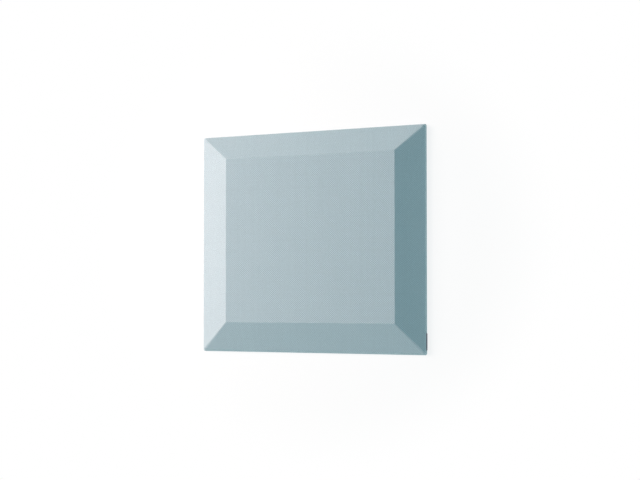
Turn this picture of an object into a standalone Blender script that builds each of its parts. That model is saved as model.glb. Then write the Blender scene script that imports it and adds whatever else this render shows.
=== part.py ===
# Acoustic wall tile: a moulded fibre core wrapped in one woven cover, with mitred bevels.
#
# The tile lies on its back. X runs across its face, Y is up on the wall and Z points out
# of its face. The origin is the middle of the back, in the plane that lies on the wall.
# All sizes are in metres.
import math

import bmesh
import bpy
from mathutils import Matrix, Vector

# Tile, measured over the cover
TILE_WIDTH = 0.585
TILE_HEIGHT = 0.585
TILE_DEPTH = 0.080
EDGE_WALL_HEIGHT = 0.018  # from the back up to the arris where the bevel starts
EDGE_DRAFT_ANGLE = math.radians(19.0)  # the edge wall leans in by this from the back
BEVEL_WIDTH = 0.076  # in plan, from the arris to the flat front

# Fold radii of the core, seen in section. The cover adds its thickness to each of them.
CORE_BACK_RADIUS = 0.0005
CORE_ARRIS_RADIUS = 0.0020
CORE_FRONT_RADIUS = 0.0010

# Corner radii in plan, at the middle line of the folds
PLAN_CORNER_RADIUS = 0.0030
PLAN_MITRE_RADIUS = 0.0010

# Woven cover
FABRIC_THICKNESS = 0.0012
HEM_WIDTH = 0.032  # turned in on the back, from the tile's side to the cut edge
HEM_CORNER_RADIUS = 0.0020
NOTCH_INSET = 0.009  # where the mitre cut in the hem starts, in from both sides
NOTCH_WIDTH = 0.007  # its width at the hem's cut edge

# Label sewn flat on the edge wall
LABEL_LENGTH = 0.043
LABEL_WIDTH = 0.009
LABEL_THICKNESS = 0.0012
LABEL_EDGE_ROUND = 0.0003
LABEL_TO_LOWER_SIDE = 0.0125  # from the tile's lower side to the label's end
LABEL_TO_BACK_FOLD = 0.0005  # from the end of the back fold to the label's long edge

# Fit between pieces that touch
FIT_GAP = 0.0003

# Facets
FOLD_STEPS = 4
CORNER_STEPS = 5
LABEL_ROUND_STEPS = 2


def clear_scene():
    for item in list(bpy.data.objects):
        bpy.data.objects.remove(item, do_unlink=True)


def plain_material(name, colour, roughness):
    material = bpy.data.materials.new(name)
    material.use_nodes = True
    shader = material.node_tree.nodes["Principled BSDF"]
    shader.inputs["Base Color"].default_value = (*colour, 1.0)
    shader.inputs["Roughness"].default_value = roughness
    shader.inputs["Metallic"].default_value = 0.0
    return material


def add_object(name, mesh_data, material):
    mesh = bpy.data.meshes.new(name)
    mesh_data.to_mesh(mesh)
    mesh_data.free()
    mesh.materials.append(material)
    item = bpy.data.objects.new(name, mesh)
    bpy.context.scene.collection.objects.link(item)
    return item


# Edge of the tile in section
#
# Three folds in a row are joined by straight runs: the back fold, the arris and the front
# edge. Each is an arc about its own centre, so the cover and the core share the centres
# and differ only in radius, and the cover has the same thickness all the way round.


def back_fold_radius():
    return CORE_BACK_RADIUS + FIT_GAP + FABRIC_THICKNESS


def back_corner_overhang():
    """How far the sharp back corner would stand out, so that the rounded one is flush."""
    lean = math.cos(EDGE_DRAFT_ANGLE) / (1.0 - math.sin(EDGE_DRAFT_ANGLE))
    return back_fold_radius() * (lean - 1.0)


def edge_folds():
    """Each fold's sharp corner (in from the side, height), radius, normals and plan radius."""
    wrap = FIT_GAP + FABRIC_THICKNESS
    arris_inset = EDGE_WALL_HEIGHT * math.tan(EDGE_DRAFT_ANGLE) - back_corner_overhang()
    bevel_normal = math.atan2(BEVEL_WIDTH, TILE_DEPTH - EDGE_WALL_HEIGHT)
    down, out, up = -math.pi / 2, EDGE_DRAFT_ANGLE, math.pi / 2
    return [
        (-back_corner_overhang(), 0.0, back_fold_radius(), down, out, PLAN_CORNER_RADIUS),
        (arris_inset, EDGE_WALL_HEIGHT, CORE_ARRIS_RADIUS + wrap, out, bevel_normal,
         PLAN_CORNER_RADIUS),
        (arris_inset + BEVEL_WIDTH, TILE_DEPTH, CORE_FRONT_RADIUS + wrap, bevel_normal, up,
         PLAN_MITRE_RADIUS),
    ]


def edge_section(depth_in):
    """Section points from back to front, depth_in below the cover's outer face."""
    points = []
    for inset, height, radius, start, end, plan_radius in edge_folds():
        share = 1.0 + math.cos(end - start)
        centre_inset = inset + radius * (math.cos(start) + math.cos(end)) / share
        centre_height = height - radius * (math.sin(start) + math.sin(end)) / share
        reach = radius - depth_in
        for step in range(FOLD_STEPS + 1):
            angle = start + (end - start) * step / FOLD_STEPS
            points.append((
                centre_inset - reach * math.cos(angle),
                centre_height + reach * math.sin(angle),
                plan_radius + reach * math.cos(angle),
            ))
    return points


def outline(inset, height, radius):
    """Rounded rectangle round the tile, inset from its sides, as a list of points."""
    loop = []
    for corner, (side_x, side_y) in enumerate(((1, 1), (-1, 1), (-1, -1), (1, -1))):
        centre_x = side_x * (TILE_WIDTH / 2 - inset - radius)
        centre_y = side_y * (TILE_HEIGHT / 2 - inset - radius)
        for step in range(CORNER_STEPS + 1):
            angle = math.pi / 2 * (corner + step / CORNER_STEPS)
            loop.append(Vector((
                centre_x + radius * math.cos(angle),
                centre_y + radius * math.sin(angle),
                height,
            )))
    return loop


def loft(loops):
    """Closed skin through the loops, with a flat cap on the first and on the last."""
    mesh_data = bmesh.new()
    rings = [[mesh_data.verts.new(point) for point in loop] for loop in loops]
    for lower, upper in zip(rings, rings[1:]):
        count = len(lower)
        for index in range(count):
            following = (index + 1) % count
            mesh_data.faces.new((lower[index], lower[following], upper[following], upper[index]))
    mesh_data.faces.new(rings[0][::-1])
    mesh_data.faces.new(rings[-1])
    bmesh.ops.recalc_face_normals(mesh_data, faces=mesh_data.faces)
    return mesh_data


# Core: fills the cover. Its back has a rebate for the hem, so that the two are flush.


def make_core(material):
    wrap = FABRIC_THICKNESS + FIT_GAP
    rebate_inset = HEM_WIDTH + FIT_GAP
    rebate = [(rebate_inset, height, HEM_CORNER_RADIUS) for height in (0.0, wrap)]
    loops = [outline(*point) for point in rebate + edge_section(wrap)]
    return add_object("moulded_core", loft(loops), material)


# Cover: face, four bevels, four edge walls and the hem on the back, all in one piece


def make_cover(material):
    cut_edge_outside = (HEM_WIDTH, 0.0, HEM_CORNER_RADIUS)
    cut_edge_inside = (HEM_WIDTH, FABRIC_THICKNESS, HEM_CORNER_RADIUS)
    inside = [cut_edge_inside] + edge_section(FABRIC_THICKNESS)
    outside = [cut_edge_outside] + edge_section(0.0)
    loops = [outline(*point) for point in inside[::-1] + outside]
    cover = add_object("fabric_cover", loft(loops), material)
    cut = cover.modifiers.new("hem_notches", "BOOLEAN")
    cut.operation = "DIFFERENCE"
    cut.solver = "EXACT"
    cut.object = make_notch_cutter()
    return cover


def make_notch_cutter():
    """Four wedges on the diagonals that mitre the hem where it turns the corners."""
    mesh_data = bmesh.new()
    margin = FABRIC_THICKNESS  # past the hem on every side
    bottom, top = -margin, FABRIC_THICKNESS + margin
    corner_inset = HEM_WIDTH + margin
    spread = NOTCH_WIDTH / 2 * (corner_inset - NOTCH_INSET) / (HEM_WIDTH - NOTCH_INSET)
    for side_x, side_y in ((1, 1), (-1, 1), (-1, -1), (1, -1)):
        corner = Vector((side_x * TILE_WIDTH / 2, side_y * TILE_HEIGHT / 2, 0.0))
        inward = Vector((-side_x, -side_y, 0.0))
        across = Vector((-side_y, side_x, 0.0)).normalized()
        tip = corner + inward * NOTCH_INSET
        base = corner + inward * corner_inset
        footprint = (tip, base + across * spread, base - across * spread)
        rings = [
            [mesh_data.verts.new(point + Vector((0.0, 0.0, height))) for point in footprint]
            for height in (bottom, top)
        ]
        for index in range(3):
            following = (index + 1) % 3
            mesh_data.faces.new((rings[0][index], rings[0][following],
                                 rings[1][following], rings[1][index]))
        mesh_data.faces.new(rings[0][::-1])
        mesh_data.faces.new(rings[1])
    bmesh.ops.recalc_face_normals(mesh_data, faces=mesh_data.faces)
    mesh = bpy.data.meshes.new("hem_notch_cutter")
    mesh_data.to_mesh(mesh)
    mesh_data.free()
    cutter = bpy.data.objects.new("hem_notch_cutter", mesh)
    bpy.context.scene.collection.objects.link(cutter)
    cutter.hide_render = True
    cutter.display_type = "WIRE"
    return cutter


# Label: a bare ribbon on the right edge wall, near the lower corner


def make_label(material):
    mesh_data = bmesh.new()
    size = Vector((LABEL_THICKNESS, LABEL_LENGTH, LABEL_WIDTH))
    bmesh.ops.create_cube(mesh_data, size=1.0, matrix=Matrix.Diagonal(size).to_4x4())
    bmesh.ops.bevel(
        mesh_data, geom=mesh_data.edges[:], offset=LABEL_EDGE_ROUND,
        segments=LABEL_ROUND_STEPS, profile=0.5, affect="EDGES",
    )
    label = add_object("side_label", mesh_data, material)
    slope = Vector((-math.sin(EDGE_DRAFT_ANGLE), 0.0, math.cos(EDGE_DRAFT_ANGLE)))
    normal = Vector((math.cos(EDGE_DRAFT_ANGLE), 0.0, math.sin(EDGE_DRAFT_ANGLE)))
    fold_run = back_fold_radius() * math.tan((math.pi / 2 + EDGE_DRAFT_ANGLE) / 2)
    up_slope = fold_run + LABEL_TO_BACK_FOLD + LABEL_WIDTH / 2
    back_corner = Vector((
        TILE_WIDTH / 2 + back_corner_overhang(),
        -TILE_HEIGHT / 2 + LABEL_TO_LOWER_SIDE + LABEL_LENGTH / 2,
        0.0,
    ))
    label.location = back_corner + slope * up_slope + normal * (FIT_GAP + LABEL_THICKNESS / 2)
    label.rotation_euler = (0.0, -EDGE_DRAFT_ANGLE, 0.0)
    return label


def main():
    clear_scene()
    fibre = plain_material("moulded_fibre", (0.60, 0.60, 0.57), 0.95)
    weave = plain_material("pale_blue_grey_weave", (0.42, 0.51, 0.55), 0.90)
    ribbon = plain_material("grey_ribbon", (0.27, 0.26, 0.29), 0.80)
    make_core(fibre)
    make_cover(weave)
    make_label(ribbon)


main()
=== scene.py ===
import math

import bpy
import numpy as np
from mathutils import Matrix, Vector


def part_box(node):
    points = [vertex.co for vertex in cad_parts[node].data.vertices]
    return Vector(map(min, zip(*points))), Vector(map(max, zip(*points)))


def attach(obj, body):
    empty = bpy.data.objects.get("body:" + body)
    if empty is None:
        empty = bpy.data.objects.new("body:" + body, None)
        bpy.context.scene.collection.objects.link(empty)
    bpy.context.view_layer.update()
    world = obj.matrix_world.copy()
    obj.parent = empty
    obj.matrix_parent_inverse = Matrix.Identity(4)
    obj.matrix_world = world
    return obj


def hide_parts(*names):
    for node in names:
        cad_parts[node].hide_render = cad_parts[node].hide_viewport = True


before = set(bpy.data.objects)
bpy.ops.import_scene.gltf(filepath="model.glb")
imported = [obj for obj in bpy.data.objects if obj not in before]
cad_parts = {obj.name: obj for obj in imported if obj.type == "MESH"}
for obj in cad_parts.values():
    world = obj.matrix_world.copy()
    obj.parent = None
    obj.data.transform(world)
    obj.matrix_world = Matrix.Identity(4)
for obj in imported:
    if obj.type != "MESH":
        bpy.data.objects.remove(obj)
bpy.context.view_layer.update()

coverLow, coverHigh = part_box("fabric_cover")
tileDepth = coverHigh.z
halfWidth = (coverHigh.x - coverLow.x) / 2
halfHeight = (coverHigh.y - coverLow.y) / 2


# shader maths written as expressions


class Term:
    # a socket that takes part in sums; each operation adds one Math node

    def __init__(self, recipe, socket):
        self.recipe = recipe
        self.socket = socket

    def maths(self, operation, *others):
        return self.recipe.node("ShaderNodeMath", {"operation": operation}, [self, *others])[0]

    def __add__(self, other):
        return self.maths("ADD", other)

    __radd__ = __add__

    def __sub__(self, other):
        return self.maths("SUBTRACT", other)

    def __rsub__(self, other):
        return self.recipe.node("ShaderNodeMath", {"operation": "SUBTRACT"}, [other, self])[0]

    def __mul__(self, other):
        return self.maths("MULTIPLY", other)

    __rmul__ = __mul__


class Recipe:
    # the node tree of one material or world, built node by node

    def __init__(self, owner):
        self.owner = owner
        owner.use_nodes = True
        self.tree = owner.node_tree

    def plug(self, socket, value):
        if isinstance(value, Term):
            self.tree.links.new(value.socket, socket)
        else:
            socket.default_value = value

    def node(self, kind, settings=None, inputs=None):
        # settings come first, because they decide which sockets there are
        made = self.tree.nodes.new(kind)
        for key, value in (settings or {}).items():
            setattr(made, key, value)
        pairs = inputs.items() if isinstance(inputs, dict) else enumerate(inputs or [])
        for key, value in pairs:
            self.plug(made.inputs[key], value)
        return [Term(self, socket) for socket in made.outputs]

    def vector(self, operation, inputs):
        return self.node("ShaderNodeVectorMath", {"operation": operation}, inputs)[0]

    def mix(self, factor, first, second, blend="MIX"):
        # colours are mixed here, since a Math node would turn them grey
        settings = {"data_type": "RGBA", "blend_type": blend}
        return self.node("ShaderNodeMix", settings, {0: factor, 6: first, 7: second})[2]

    def grey(self, value):
        return self.node("ShaderNodeCombineXYZ", None, [value, value, value])[0]

    def seenDirectly(self):
        # one for what the camera sees, itself or in glossy or clear things
        path = {term.socket.name: term for term in self.node("ShaderNodeLightPath")}
        seen = path["Is Camera Ray"].maths("MAXIMUM", path["Is Glossy Ray"])
        return seen.maths("MAXIMUM", path["Is Transmission Ray"])

    def surface(self, shader):
        # what reaches the surface of the material or the world
        kinds = ("OUTPUT_MATERIAL", "OUTPUT_WORLD")
        output = [node for node in self.tree.nodes if node.type in kinds][0]
        self.plug(output.inputs["Surface"], shader)
        return self.owner

    def finish(self, colour, roughness, height, bump, constants):
        # what varies goes to colour, roughness and bump; the rest is set on the shader itself
        shader = self.tree.nodes["Principled BSDF"]
        self.plug(shader.inputs["Base Color"], colour)
        self.plug(shader.inputs["Roughness"], roughness)
        relief = self.node("ShaderNodeBump", None, {"Height": height, **bump})[0]
        self.plug(shader.inputs["Normal"], relief)
        for name, value in constants.items():
            shader.inputs[name].default_value = value
        return self.owner


def linear(red, green, blue):
    # screen colour 0 to 255 to linear light: the standard curve, above its straight foot
    return tuple(((c / 255 + 0.055) / 1.055) ** 2.4 for c in (red, green, blue))


def opaque(colour):
    return (*colour, 1.0)


# building meshes from grids


class Patchwork:
    # grids of points are added one by one and merged where their edges meet

    mergeDistance = 1e-6

    def __init__(self):
        self.points, self.maps, self.quads = [], [], []
        self.count = 0

    def add(self, points, chart, flip=False):
        # points is rows x columns x 3 and chart is rows x columns x 2, its place in the cloth;
        # the faces look along columns x rows, and the other way with flip
        rows, columns = points.shape[:2]
        index = self.count + np.arange(rows * columns).reshape(rows, columns)
        corners = [index[:-1, :-1], index[:-1, 1:], index[1:, 1:], index[1:, :-1]]
        order = corners[::-1] if flip else corners
        self.quads.append(np.stack([c.ravel() for c in order], axis=1))
        self.points.append(points.reshape(-1, 3))
        self.maps.append(chart.reshape(-1, 2))
        self.count += rows * columns

    def build(self, name, material, sharpAngle=None):
        points, quads = np.concatenate(self.points), np.concatenate(self.quads)
        keys = np.round(points / self.mergeDistance).astype(np.int64)
        _, first, merged = np.unique(keys, axis=0, return_index=True, return_inverse=True)
        faces, places = merged.reshape(-1)[quads], np.concatenate(self.maps)[quads]
        # at a pole two corners of a face are one point, and the face becomes a triangle
        apart = faces != np.roll(faces, 1, axis=1)
        whole = apart.all(axis=1)
        atPole = apart[~whole]
        corners = faces[whole].tolist() + faces[~whole][atPole].reshape(-1, 3).tolist()
        chart = np.concatenate([places[whole].reshape(-1, 2), places[~whole][atPole]])
        mesh = bpy.data.meshes.new(name)
        mesh.from_pydata(points[first].tolist(), [], corners)
        layer = mesh.uv_layers.new(name="clothMap")
        layer.uv.foreach_set("vector", chart.astype(np.float32).ravel())
        mesh.shade_smooth()
        if sharpAngle is not None:
            mesh.set_sharp_from_angle(angle=sharpAngle)
        mesh.materials.append(material)
        piece = bpy.data.objects.new(name, mesh)
        bpy.context.scene.collection.objects.link(piece)
        return piece


def smoothNoise(x, y, seed):
    # random values on a unit lattice, blended by 3t^2 - 2t^3 in each direction
    size = 64  # the lattice repeats after this many cells
    lattice = np.random.default_rng(seed).uniform(-1, 1, (size, size))
    x0, y0 = np.floor(x).astype(int), np.floor(y).astype(int)
    fx, fy = x - x0, y - y0
    fx, fy = fx * fx * (3 - 2 * fx), fy * fy * (3 - 2 * fy)

    def corner(i, j):
        return lattice[(x0 + i) % size, (y0 + j) % size]

    near = corner(0, 0) * (1 - fx) + corner(1, 0) * fx
    far = corner(0, 1) * (1 - fx) + corner(1, 1) * fx
    return near * (1 - fy) + far * fy


# shape of the tile's edge, shared by the cover and the core


edge = {
    "wallHeight": 0.018,
    "draft": math.radians(19.0),
    "bevelWidth": 0.076,
    "backRadius": 0.0020,  # fold radii in section, over the cloth
    "arrisRadius": 0.0035,
    "frontRadius": 0.0025,
    "cornerRadius": 0.0030,  # in plan, at the middle line of the folds
    "mitreRadius": 0.0010,
    "foldSteps": 5,
    "creaseAngle": math.radians(50.0),  # sharper edges aren't shaded smooth
}


def foldCorners():
    # each fold: sharp corner (inset, height), radius, normal's angle before and after it, and
    # radius in plan
    lean = math.cos(edge["draft"]) / (1 - math.sin(edge["draft"]))
    overhang = edge["backRadius"] * (lean - 1)
    arris = edge["wallHeight"] * math.tan(edge["draft"]) - overhang
    rise = tileDepth - edge["wallHeight"]
    bevelNormal = math.atan2(edge["bevelWidth"], rise)
    down, out, up = -math.pi / 2, edge["draft"], math.pi / 2
    front = arris + edge["bevelWidth"]
    return [
        (-overhang, 0.0, edge["backRadius"], down, out, edge["cornerRadius"]),
        (arris, edge["wallHeight"], edge["arrisRadius"], out, bevelNormal, edge["cornerRadius"]),
        (front, tileDepth, edge["frontRadius"], bevelNormal, up, edge["mitreRadius"]),
    ]


def foldArc(fold, depthIn):
    # points of an arc about the fold's centre, depthIn inside the outer face, with r its radius
    # less depthIn: inset = centre - r cos(angle), height = centre + r sin(angle) and
    # plan radius = its own + r cos(angle)
    inset, height, radius, start, end, planRadius = fold
    share = 1 + math.cos(end - start)
    centreInset = inset + radius * (math.cos(start) + math.cos(end)) / share
    centreHeight = height - radius * (math.sin(start) + math.sin(end)) / share
    angle = np.linspace(start, end, edge["foldSteps"] + 1)
    reach = radius - depthIn
    return np.stack([
        centreInset - reach * np.cos(angle),
        centreHeight + reach * np.sin(angle),
        planRadius + reach * np.cos(angle),
    ], axis=1)


def straight(first, last, steps):
    # points between two section points, without either of them
    share = np.linspace(0, 1, steps + 1)[1:-1, None]
    return first + (last - first) * share


def alongSteps(count, cornerSteps, cornerSpan):
    # positions from -1 to 1 along a side: even ones, and a fine run at both ends for the corner
    fine = np.linspace(0, cornerSpan, cornerSteps + 1)[:-1]
    even = np.linspace(-1 + cornerSpan, 1 - cornerSpan, count + 1)
    return np.concatenate([-1 + fine, even, 1 - fine[::-1]])


def sideGrid(side, section, along, trim=None):
    # side 0 to 3 is +X, +Y, -X, -Y. Each section point gives a row round that side:
    # straight to within the plan radius of the corner, then an eighth of a circle
    halfOut, halfAlong = (halfWidth, halfHeight) if side % 2 == 0 else (halfHeight, halfWidth)
    inset, height, radius = (section[:, k][:, None] for k in range(3))
    reachOut, reachAlong = halfOut - inset, halfAlong - inset
    if trim is not None:
        reachAlong = reachAlong - trim[:, None]
    toCorner = reachAlong * (1 - np.abs(along))[None, :]
    turn = np.pi / 4 * np.clip(1 - toCorner / np.maximum(radius, 1e-9), 0, 1)
    turned = turn > 0
    centreAlong = reachAlong - radius
    out = np.where(turned, reachOut - radius + radius * np.cos(turn), reachOut)
    across = np.where(turned, centreAlong + radius * np.sin(turn), reachAlong - toCorner)
    across = across * np.where(along < 0, -1, 1)[None, :]
    quarter = math.pi / 2 * side
    cosine, sine = round(math.cos(quarter)), round(math.sin(quarter))
    x = out * cosine - across * sine
    y = out * sine + across * cosine
    return np.stack([x, y, np.broadcast_to(height, x.shape)], axis=2)


def flatGrid(level, along):
    # flat face at a section point: an even grid whose rim is that point's row round the sides
    half = np.array([halfWidth, halfHeight]) - level[0]
    x, y = np.meshgrid(along * half[0], along * half[1])
    points = np.stack([x, y, np.full_like(x, level[1])], axis=2)
    rims = [sideGrid(side, level[None, :], along)[0] for side in range(4)]
    points[:, -1], points[-1, :] = rims[0], rims[1][::-1]
    points[:, 0], points[0, :] = rims[2][::-1], rims[3]
    return points


swells = {  # the faces aren't dead flat
    "height": 0.00025,
    "lower": 0.6,
    "layers": (  # share of the height, span, shift in x and in y, seed
        (1.0, 0.085, 20, 20, 7),
        (0.5, 0.085 / 2.3, 9, 5, 8),
    ),
}


def addUneven(points):
    # low swells: layers of noise over x and y less a constant, times the square of the share
    # of the tile's depth, so that the back stays flat
    swell = np.full(points.shape[:-1], -swells["lower"])
    for share, span, shiftX, shiftY, seed in swells["layers"]:
        x, y = points[..., 0] / span + shiftX, points[..., 1] / span + shiftY
        swell += share * smoothNoise(x, y, seed)
    fade = np.clip(points[..., 2] / tileDepth, 0, 1) ** 2
    moved = points.copy()
    moved[..., 2] += swells["height"] * swell * fade
    return moved


# woven cover


cover = {
    "thickness": 0.0012,
    "hemWidth": 0.032,
    "notchInset": 0.009,
    "notchWidth": 0.007,
    "hemPlanRadius": 0.0003,  # of the hem's corner where the mitre cut starts
    "alongSides": (64, 6, 0.026),  # even steps, corner steps, share of a half side for them
    "bevelSteps": 14,
    "wallSteps": 4,
    "hemSteps": 5,
    "tipSteps": 3,  # from the mitre cut's start to the back fold
    "easeSpan": 0.11,  # how far from a mitre the cloth is eased
}


def coverSection(depthIn):
    # section of the cloth from the mitre cut's start, over the back fold, to the flat front
    back, arris, front = (foldArc(fold, depthIn) for fold in foldCorners())
    notchTip = np.array([cover["notchInset"], depthIn, cover["hemPlanRadius"]])
    runs = [
        notchTip[None, :],
        straight(notchTip, back[0], cover["tipSteps"]),
        back,
        straight(back[-1], arris[0], cover["wallSteps"]),
        arris,
        straight(arris[-1], front[0], cover["bevelSteps"]),
        front,
    ]
    return np.concatenate(runs)


def hemSection(depthIn):
    # section of the hem from its cut edge to the mitre cut's start
    cutEdge = np.array([cover["hemWidth"], depthIn, cover["hemPlanRadius"]])
    tip = np.array([cover["notchInset"], depthIn, cover["hemPlanRadius"]])
    share = np.linspace(0, 1, cover["hemSteps"] + 1)[:, None]
    return cutEdge + (tip - cutEdge) * share


def notchTrim(section):
    # how far a hem flap stops short of the diagonal, from nothing at the tip of the cut
    slope = cover["notchWidth"] / 2 / (cover["hemWidth"] - cover["notchInset"]) / math.sqrt(2)
    perInset = 2 * slope / (1 - slope)
    return perInset * (section[:, 0] - cover["notchInset"])


def arcLengths(section):
    # length run from the first section point to each: the sum of the straight steps before it
    steps = np.hypot(np.diff(section[:, 0]), np.diff(section[:, 1]))
    return np.concatenate([[0], np.cumsum(steps)])


def mitreSurplus(points, side, fromFront):
    # what the cloth has too much on a mitre: section length from the front's edge - plan run
    along = 1 - side % 2
    reach = np.abs(points[:, -1, along])
    planRun = foldCorners()[2][0] - ((halfWidth, halfHeight)[along] - reach)
    surplus = np.clip(fromFront - planRun, 0, None)
    # it grows no more past the back fold, because the hem is cut
    widest = np.argmax(reach)
    surplus[:widest] = surplus[widest]
    return surplus


def coverChart(points, side, fromFront, surplus):
    # place in the cloth, in metres: its plan place along the side, and out from the front face's
    # edge the section length. Towards a mitre half of the surplus goes from out to along, by
    # (1 - distance / span)^2, so that both sides reach the mitre at the same place in the cloth
    chart = points[:, :, :2].copy()
    out, along = side % 2, 1 - side % 2
    sign = 1 if side < 2 else -1
    frontOut = (halfWidth, halfHeight)[out] - foldCorners()[2][0]
    behind = fromFront > 0
    place = points[behind, :, along]
    toMitre = np.abs(place[:, -1:]) - np.abs(place)
    eased = np.clip(1 - toMitre / cover["easeSpan"], 0, 1) ** 2 * surplus[behind, None] / 2
    chart[behind, :, out] = sign * (frontOut + fromFront[behind, None] - eased)
    chart[behind, :, along] = place + np.sign(place) * eased
    return chart


def flatSide():
    # side of the flat cloth: twice the front's half plus the section round to the cut edge
    toTip = arcLengths(coverSection(0.0))[-1 - edge["foldSteps"] // 2]
    toCutEdge = toTip + cover["hemWidth"] - cover["notchInset"]
    return 2 * (halfWidth - foldCorners()[2][0] + toCutEdge)


def makeCover(material):
    # two faces, a cloth's thickness apart: four sides, four hem flaps and the flat front each
    cloth = Patchwork()
    along = alongSteps(*cover["alongSides"])
    for depthIn, flip in ((0.0, False), (cover["thickness"], True)):
        section, hem = coverSection(depthIn), hemSection(depthIn)
        lengths = arcLengths(section)
        frontRow = len(section) - 1 - edge["foldSteps"] // 2
        fromFront = lengths[frontRow] - lengths
        fromFrontHem = lengths[frontRow] + (hem[:, 0] - cover["notchInset"])
        for side in range(4):
            body = sideGrid(side, section, along)
            surplus = mitreSurplus(body, side, fromFront)
            chart = coverChart(body, side, fromFront, surplus)
            cloth.add(addUneven(body), chart, flip)
            flap = sideGrid(side, hem, along, notchTrim(hem))
            chart = coverChart(flap, side, fromFrontHem, np.full(len(hem), surplus[0]))
            cloth.add(flap, chart, flip)
        front = flatGrid(section[-1], along)
        cloth.add(addUneven(front), front[:, :, :2].copy(), flip)
    joinCutEdges(cloth, along)
    return cloth.build("wovenCover", material, edge["creaseAngle"])


def joinCutEdges(cloth, along):
    # strips that close the cloth round each hem flap: a row of the outer face and the same row
    # of the inner one
    outer, inner = hemSection(0.0), hemSection(cover["thickness"])
    trim = notchTrim(outer)
    for side in range(4):
        faces = [sideGrid(side, hem, along, trim) for hem in (outer, inner)]
        for row, flip in ((np.s_[0, :], True), (np.s_[:, 0], False), (np.s_[:, -1], True)):
            strip = np.stack([face[row] for face in faces])
            cloth.add(strip, strip[:, :, :2].copy(), flip)


def weaveMaterial():
    # basket weave: each cell holds two yarns, along v in every other cell and along u between.
    # A yarn's height is a round crown across it times an arch along it, where it dips under.
    look = {
        "pitch": 0.00265,  # side of one cell
        "yarns": 2,  # side by side in each cell
        # warp paler than weft: partly the yarns' own colours, partly painted light and shade for
        # how the two yarn directions catch the light
        "warp": (0.627, 0.750, 0.798),
        "weft": (0.424, 0.525, 0.566),
        # painted shade in the gaps between the yarns: a darker copy of the yarn colour, where the
        # height is low
        "gap": (0.195, 0.280, 0.320),
        "relief": 0.00035,
        "bump": 0.8,
        "crownPower": 0.6,  # the lower, the flatter a yarn's back
        "archPower": 0.7,
        "dipLevel": 0.3,  # of a yarn where it goes under the others
        # how far the painted gap shade reaches in from the gaps
        "gapShadeReach": 1.6,  # the higher, the narrower the dark gaps
        "twists": 4.5,  # turns of a yarn within a cell
        "twistRelief": 0.06,
        "fibres": 2400.0,  # spots of the fine noise in a metre
        "fibreRelief": 0.12,
        "patches": 12.0,  # broad paler and darker places in a metre
        "wander": ((22.0, 0.65), (75.0, 0.12)),  # swerves: how many a metre, how far in cells
        "yarnTone": 0.05,  # difference between one yarn and the next
        "fibreTone": 0.07,
        "patchTone": 0.03,
        "roughness": (0.84, 0.94),
        "specular": 0.2,
        "sheen": 0.12,
        "sheenRoughness": 0.5,
    }
    recipe = Recipe(bpy.data.materials.new("paleWeave"))
    cloth = recipe.node("ShaderNodeUVMap", {"uv_map": "clothMap"})[0]

    def noise(scale, detail, output=0):
        return recipe.node("ShaderNodeTexNoise", {"noise_dimensions": "2D"},
                           {"Vector": cloth, "Scale": scale, "Detail": detail})[output]

    cells = recipe.vector("SCALE", {"Vector": cloth, "Scale": 1 / look["pitch"]})
    for swerves, reach in look["wander"]:
        # noise from 0 to 1, less a half and doubled, swerves by up to the reach to either side
        nudge = recipe.vector("SUBTRACT", [noise(swerves, 1.0, 1), (0.5, 0.5, 0.5)])
        nudge = recipe.vector("SCALE", {"Vector": nudge, "Scale": reach * 2})
        cells = recipe.vector("ADD", [cells, nudge])
    u, v = recipe.node("ShaderNodeSeparateXYZ", None, [cells])[:2]

    def hump(along, power):
        # |sin| to a power, one hump for each whole number
        return (along * math.pi).maths("SINE").maths("ABSOLUTE").maths("POWER", power)

    def crown(across):
        # round back of each yarn in the cell
        return hump(across * float(look["yarns"]), look["crownPower"])

    def arch(along):
        # how a yarn rises between its dips, from their level to 1
        return look["dipLevel"] + (1 - look["dipLevel"]) * hump(along, look["archPower"])

    def yarnShade(along):
        # one random value for each yarn
        count = (along * float(look["yarns"])).maths("FLOOR")
        return recipe.node("ShaderNodeTexWhiteNoise", {"noise_dimensions": "1D"}, {"W": count})[0]

    parity = u.maths("FLOOR") + v.maths("FLOOR")
    warpOver = parity.maths("MODULO", 2.0).maths("ABSOLUTE").maths("GREATER_THAN", 0.5)
    weftOver = 1 - warpOver
    warp = crown(u) * arch(v)
    weft = crown(v) * arch(u)
    height = warp * warpOver + weft * weftOver
    twist = ((u + v) * (math.tau * look["twists"])).maths("SINE")
    fibre = noise(look["fibres"], 3.0)
    shade = yarnShade(u) * warpOver + yarnShade(v) * weftOver
    # paler where the warp lies over, darker where the weft does: partly painted light and shade
    tone = recipe.mix(warpOver, opaque(look["weft"]), opaque(look["warp"]))
    # painted shade: where a yarn's height falls, its tone goes over to the gap colour, a darker
    # copy of it
    unshadedShare = (height * look["gapShadeReach"]).maths("MINIMUM", 1.0)
    tone = recipe.mix(unshadedShare, opaque(look["gap"]), tone)
    patch = noise(look["patches"], 3.0)
    level = 1 + look["yarnTone"] * (shade - 0.5) + look["fibreTone"] * (fibre - 0.5)
    level = level + look["patchTone"] * (patch - 0.5)
    tone = recipe.mix(1.0, tone, recipe.grey(level), "MULTIPLY")
    smooth, rough = look["roughness"]
    relief = height + look["twistRelief"] * twist + look["fibreRelief"] * fibre
    return recipe.finish(
        tone, smooth + (rough - smooth) * fibre, relief,
        {"Strength": look["bump"], "Distance": look["relief"]},
        {"Specular IOR Level": look["specular"], "Sheen Weight": look["sheen"],
         "Sheen Roughness": look["sheenRoughness"]},
    )


# fibre core


core = {
    "gap": 0.0003,  # between the core and its cover
    "rebateRadius": 0.0020,
    "alongSides": (40, 5, 0.026),  # as the cover's
    "rebateSteps": 6,
    "wallSteps": 4,
    "bevelSteps": 8,
}


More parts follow.
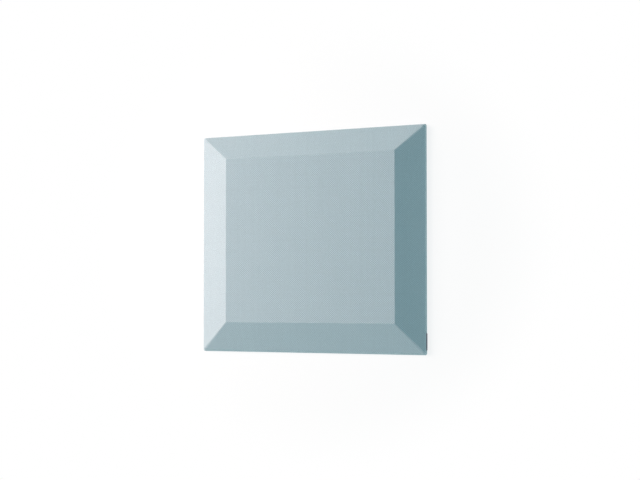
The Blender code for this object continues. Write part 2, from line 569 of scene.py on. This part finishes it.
def makeCore(material):
    # the cover's section moved in by cloth and gap, with a rebate for the hem and a flat back
    wrap = cover["thickness"] + core["gap"]
    back, arris, front = (foldArc(fold, wrap) for fold in foldCorners())
    inset = cover["hemWidth"] + core["gap"]
    lip = np.array([[inset, 0.0, core["rebateRadius"]], [inset, wrap, core["rebateRadius"]]])
    section = np.concatenate([
        lip,
        straight(lip[-1], back[0], core["rebateSteps"]),
        back,
        straight(back[-1], arris[0], core["wallSteps"]),
        arris,
        straight(arris[-1], front[0], core["bevelSteps"]),
        front,
    ])
    along = alongSteps(*core["alongSides"])
    felt = Patchwork()
    for side in range(4):
        grid = sideGrid(side, section, along)
        felt.add(addUneven(grid), grid[:, :, :2].copy())
    for row, flip in ((-1, False), (0, True)):
        grid = flatGrid(section[row], along)
        felt.add(addUneven(grid), grid[:, :, :2].copy(), flip)
    return felt.build("fibreCore", material, edge["creaseAngle"])


def fibreMaterial():
    # matted strands and, over them, coarser tufts
    look = {
        "pale": linear(214, 214, 208),
        "dark": linear(176, 176, 170),
        "strands": 420.0,  # in a metre
        "strandSwirl": 1.6,
        "tufts": 70.0,
        "tuftTone": 0.3,  # the tufts' share of the tone, next to the strands
        "tuftRelief": 0.5,
        "bump": 0.7,
        "relief": 0.0004,
        "roughness": (0.9, 0.98),
        "specular": 0.15,
        "sheen": 0.1,
    }
    recipe = Recipe(bpy.data.materials.new("mouldedFibre"))
    place = recipe.node("ShaderNodeTexCoord")[3]
    strands = recipe.node("ShaderNodeTexNoise", None, {
        "Vector": place, "Scale": look["strands"], "Detail": 6.0,
        "Distortion": look["strandSwirl"]})[0]
    tufts = recipe.node("ShaderNodeTexNoise", None, {
        "Vector": place, "Scale": look["tufts"], "Detail": 3.0})[0]
    paleness = strands * (1 - look["tuftTone"]) + tufts * look["tuftTone"]
    smooth, rough = look["roughness"]
    return recipe.finish(
        recipe.mix(paleness, opaque(look["dark"]), opaque(look["pale"])),
        smooth + (rough - smooth) * tufts, strands + look["tuftRelief"] * tufts,
        {"Strength": look["bump"], "Distance": look["relief"]},
        {"Specular IOR Level": look["specular"], "Sheen Weight": look["sheen"]},
    )


# label


ribbon = {
    "length": 0.043,
    "width": 0.009,
    "thickness": 0.0014,
    "toLowerSide": 0.0125,
    "toBackFold": 0.0005,
    "clear": 0.0001,  # between the cover and the ribbon
    "edgePower": 9,  # the higher, the squarer the long edges
    "endPower": 36,  # the same at the two ends
    "lengthPoints": 151,
    "widthPoints": 41,
    "crowding": 1.35,  # how much closer the points lie towards the ends
    "dark": linear(129, 119, 129),
    "pale": linear(167, 156, 164),
    "ribPitch": 0.0006,
    "creaseAngle": math.radians(60.0),
}

seam = {
    "sewnIn": 0.00115,  # distance from the ribbon's edges
    "dip": 0.00022,
    "halfWidth": 0.0007,
    "stitch": 0.0024,
    "stitchGap": 0.0006,
    "thread": 0.00017,  # radius
    "sink": 0.00016,  # of a stitch's middle line below the ribbon at both ends
    "rise": 0.000096,  # and above it half way
    "endShare": 0.45,  # of the radius, where a stitch enters the ribbon
    "stitchPoints": 11,
    "roundPoints": 9,
    "dark": linear(140, 135, 145),
    "pale": linear(177, 170, 178),
    "twistPitch": 0.0002,
}


def ribbonPlace(points):
    # the ribbon's own x is out of the wall, y along the tile's side and z up the wall's slope
    lean = edge["draft"]
    back = foldCorners()[0]
    run = back[2] * math.tan((math.pi / 2 + lean) / 2) + ribbon["toBackFold"]
    run += ribbon["width"] / 2
    stand = ribbon["clear"] + ribbon["thickness"] / 2
    centre = np.array([
        halfWidth - back[0] - math.sin(lean) * run + math.cos(lean) * stand,
        -halfHeight + ribbon["toLowerSide"] + ribbon["length"] / 2,
        math.cos(lean) * run + math.sin(lean) * stand,
    ])
    normal = np.array([math.cos(lean), 0.0, math.sin(lean)])
    slope = np.array([-math.sin(lean), 0.0, math.cos(lean)])
    side = np.array([0.0, 1.0, 0.0])
    x, y, z = (points[..., k, None] for k in range(3))
    return centre + x * normal + y * side + z * slope


def ribbonSkin(y, z):
    # flat inner face, and over it the thickness times the cube root of
    # (1 - |y|^endPower) * (1 - |z|^edgePower), with y and z from -1 to 1. The outer face dips
    # by a bell curve of the distance to the seam, a rectangle.
    long, wide = np.abs(y / (ribbon["length"] / 2)), np.abs(z / (ribbon["width"] / 2))
    ends, edges = 1 - long ** ribbon["endPower"], 1 - wide ** ribbon["edgePower"]
    rounded = np.clip(ends * edges, 0, 1) ** (1 / 3)
    toEdge = np.minimum(ribbon["length"] / 2 - np.abs(y), ribbon["width"] / 2 - np.abs(z))
    sunk = np.exp(-((toEdge - seam["sewnIn"]) / seam["halfWidth"]) ** 2)
    inner = np.full_like(rounded, -ribbon["thickness"] / 2)
    return inner + (ribbon["thickness"] - seam["dip"] * sunk) * rounded, inner


def makeRibbon(material):
    # two faces over the same rectangle, which meet at its rim. Towards it the points crowd: by
    # 1 - (1 - |t|)^crowding along the ribbon, and by the sine of a quarter turn across it
    even = np.linspace(-1, 1, ribbon["lengthPoints"])
    along = np.sign(even) * (1 - (1 - np.abs(even)) ** ribbon["crowding"])
    across = np.sin(np.linspace(-1, 1, ribbon["widthPoints"]) * math.pi / 2)
    y, z = np.meshgrid(along * ribbon["length"] / 2, across * ribbon["width"] / 2)
    outer, inner = ribbonSkin(y, z)
    tape = Patchwork()
    for x, flip in ((outer, False), (inner, True)):
        points = ribbonPlace(np.stack([x, y, z], axis=2))
        tape.add(points, np.stack([y, z], axis=2), flip)
    return tape.build("bareRibbon", material, ribbon["creaseAngle"])


def seamStarts():
    # where stitches start and which way they run: round the rectangle at the seam's distance
    step = seam["stitch"] + seam["stitchGap"]
    halfLong = ribbon["length"] / 2 - seam["sewnIn"]
    halfWide = ribbon["width"] / 2 - seam["sewnIn"]
    starts, runs = [], []
    for half, other, axis in ((halfLong, halfWide, 0), (halfWide, halfLong, 1)):
        count = int((2 * half + seam["stitchGap"]) // step)
        free = 2 * half - (count * step - seam["stitchGap"])
        first = -half + free / 2 + step * np.arange(count)
        for sign in (-1, 1):
            place = np.zeros((count, 2))
            place[:, axis] = first
            place[:, 1 - axis] = sign * other
            starts.append(place)
            runs.append(np.tile(np.eye(2)[axis], (count, 1)))
    return np.concatenate(starts), np.concatenate(runs)


def makeSeam(material):
    # each stitch is a tube about an arch: from -sink at both ends it rises by sink + rise times
    # the root of the sine of its share of the way, and its radius falls towards the ends
    starts, runs = seamStarts()
    share = np.concatenate([[0], np.linspace(0, 1, seam["stitchPoints"]), [1]])
    turn = np.linspace(0, math.tau, seam["roundPoints"])
    arch = np.abs(np.sin(math.pi * share)) ** 0.5
    radius = seam["thread"] * (seam["endShare"] + (1 - seam["endShare"]) * arch)
    radius[[0, -1]] = 0  # poles that close the tube
    along = starts[:, None, :] + runs[:, None, :] * seam["stitch"] * share[None, :, None]
    across = np.stack([-runs[:, 1], runs[:, 0]], axis=1)
    base = ribbonSkin(along[..., 0], along[..., 1])[0]
    middle = base + (arch * (seam["rise"] + seam["sink"]) - seam["sink"])[None, :]
    ring = radius[:, None] * np.stack([np.sin(turn), np.cos(turn)])[:, None, :]
    x = middle[:, :, None] + ring[0][None, :, :]
    flat = along[:, :, None, :] + ring[1][None, :, :, None] * across[:, None, None, :]
    points = ribbonPlace(np.concatenate([x[..., None], flat], axis=3))
    thread = Patchwork()
    for stitch, chart in zip(points, flat):
        thread.add(stitch, chart)
    return thread.build("ribbonSeam", material)


def ribMaterial(name, dark, pale, pitch):
    # ribs side by side along y, a half wave of a sine each, and fine fibre noise
    look = {
        "groundTone": 0.3,
        "ribShadeTone": 0.5,
        "fibreTone": 0.2,
        "fibres": 3000.0,  # in a metre
        "fibreRelief": 0.2,
        "bump": 0.6,
        "relief": 0.00012,
        "roughness": (0.72, 0.84),
        "specular": 0.3,
    }
    recipe = Recipe(bpy.data.materials.new(name))
    place = recipe.node("ShaderNodeTexCoord")[3]
    y = recipe.node("ShaderNodeSeparateXYZ", None, [place])[1]
    rib = (y * (math.pi / pitch)).maths("SINE").maths("ABSOLUTE")
    fibre = recipe.node("ShaderNodeTexNoise", None, {
        "Vector": place, "Scale": look["fibres"], "Detail": 2.0})[0]
    # painted shade: paler on the crowns of the ribs, darker in the grooves between them; the
    # fibre noise adds a random tone
    paleness = look["groundTone"] + look["ribShadeTone"] * rib + look["fibreTone"] * fibre
    smooth, rough = look["roughness"]
    return recipe.finish(
        recipe.mix(paleness, opaque(dark), opaque(pale)),
        smooth + (rough - smooth) * fibre, rib + look["fibreRelief"] * fibre,
        {"Strength": look["bump"], "Distance": look["relief"]},
        {"Specular IOR Level": look["specular"]},
    )


# floor, light and camera


studio = {
    "skyLevel": 0.345,
    "skyTint": (0.565, 1.0, 1.115),
    "lamps": (  # name, level, tint, degrees round from +X and above the floor
        ("softLamp", 0.89, (1.217, 1.0, 0.933), (166.0, 45.0)),
        ("lowLamp", 0.105, (1.0, 0.1, 0.05), (165.0, 20.0)),
    ),
    "lampDistance": 3.2,
    "lampSize": 1.5,
    "floorSize": 9.0,
    "floorBelow": 0.0002,
    "floorColour": (0.85, 0.85, 0.85),
    "fillLevel": 0.61,  # what the floor adds to the light on the edge walls
    "fillTint": (0.88, 1.0, 0.925),
    "paperShare": 0.16,  # how much of the floor's own light and shadow shows near the tile
    "paperFade": (0.40, 0.62),  # distances from the middle between which it fades to white
}


def makeFloor():
    # one big square. The camera sees white, mixed near the tile with a share of the floor's own
    # light and shadow; everything else meets a plain pale floor with a fill light of its own
    recipe = Recipe(bpy.data.materials.new("paleFloor"))
    plain = recipe.node("ShaderNodeBsdfDiffuse", None,
                        {"Color": opaque(studio["floorColour"])})[0]
    fill = recipe.node("ShaderNodeEmission", None, {
        "Color": opaque(studio["fillTint"]), "Strength": studio["fillLevel"]})[0]
    plain = recipe.node("ShaderNodeAddShader", None, [plain, fill])[0]
    lit = recipe.node("ShaderNodeBsdfDiffuse", None, {"Color": (1.0, 1.0, 1.0, 1.0)})[0]
    white = recipe.node("ShaderNodeEmission", None, {"Strength": 1.0})[0]
    place = recipe.node("ShaderNodeTexCoord")[3]
    distance = recipe.node("ShaderNodeVectorMath", {"operation": "LENGTH"}, [place])[1]
    near, far = studio["paperFade"]
    share = recipe.node("ShaderNodeMapRange", {"interpolation_type": "SMOOTHSTEP"}, {
        "Value": distance, "From Min": near, "From Max": far,
        "To Min": studio["paperShare"], "To Max": 0.0})[0]
    paper = recipe.node("ShaderNodeMixShader", None, [share, white, lit])[0]
    seen = recipe.seenDirectly()
    recipe.surface(recipe.node("ShaderNodeMixShader", None, [seen, plain, paper])[0])
    half = studio["floorSize"] / 2
    low = -studio["floorBelow"]
    mesh = bpy.data.meshes.new("floor")
    corners = [(-half, -half, low), (half, -half, low), (half, half, low), (-half, half, low)]
    mesh.from_pydata(corners, [], [(0, 1, 2, 3)])
    mesh.materials.append(recipe.owner)
    floor = bpy.data.objects.new("floor", mesh)
    bpy.context.scene.collection.objects.link(floor)


def makeLamp(name, level, tint, turn):
    # power = level * pi^2 * distance^2, so that a white sheet facing the lamp renders at level
    azimuth, elevation = (math.radians(angle) for angle in turn)
    distance = studio["lampDistance"]
    lamp = bpy.data.lights.new(name, "AREA")
    lamp.shape = "DISK"
    lamp.size = studio["lampSize"]
    lamp.color = tint
    lamp.energy = level * math.pi ** 2 * distance ** 2
    item = bpy.data.objects.new(name, lamp)
    item.location = (
        distance * math.cos(elevation) * math.cos(azimuth),
        distance * math.cos(elevation) * math.sin(azimuth),
        distance * math.sin(elevation),
    )
    item.rotation_euler = item.location.to_track_quat("Z", "Y").to_euler()
    bpy.context.scene.collection.objects.link(item)


def makeSky():
    # even light from all round, and white where the camera looks at it
    world = bpy.data.worlds.new("studioSky")
    bpy.context.scene.world = world
    recipe = Recipe(world)
    light = recipe.node("ShaderNodeBackground", None, {
        "Color": opaque(studio["skyTint"]), "Strength": studio["skyLevel"]})[0]
    white = recipe.node("ShaderNodeBackground", None, {
        "Color": (1.0, 1.0, 1.0, 1.0), "Strength": 1.0})[0]
    seen = recipe.seenDirectly()
    recipe.surface(recipe.node("ShaderNodeMixShader", None, [seen, light, white])[0])


def makeCamera():
    # place, turn, lens and shift that bring the tile's edges onto those in the photograph
    view = {
        "place": (0.1564, -0.1624, 1.5636),
        "turn": (0.639, 13.200, 0.066),  # degrees about X, Y and Z
        "lens": 33.23,
        "sensorWidth": 36.0,
        "shift": (0.1359, 0.0891),
    }
    data = bpy.data.cameras.new("camera")
    data.lens = view["lens"]
    data.sensor_width = view["sensorWidth"]
    data.shift_x, data.shift_y = view["shift"]
    item = bpy.data.objects.new("camera", data)
    item.location = view["place"]
    item.rotation_euler = [math.radians(angle) for angle in view["turn"]]
    bpy.context.scene.collection.objects.link(item)
    bpy.context.scene.camera = item


print("studio")
bpy.context.scene.view_settings.view_transform = "Standard"
makeCamera()
makeFloor()
makeSky()
for lamp in studio["lamps"]:
    makeLamp(*lamp)

print("core")
fibreCore = makeCore(fibreMaterial())
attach(fibreCore, "root")
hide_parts("moulded_core")

print("cover")
wovenCover = makeCover(weaveMaterial())
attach(wovenCover, "root")
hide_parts("fabric_cover")
flatSide()
flatSide()

print("label")
ribbonFinish = ribMaterial("greyRibbon", ribbon["dark"], ribbon["pale"], ribbon["ribPitch"])
threadFinish = ribMaterial("ribbonThread", seam["dark"], seam["pale"], seam["twistPitch"])
bareRibbon = makeRibbon(ribbonFinish)
ribbonSeam = makeSeam(threadFinish)
for piece in (bareRibbon, ribbonSeam):
    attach(piece, "root")
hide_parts("side_label")
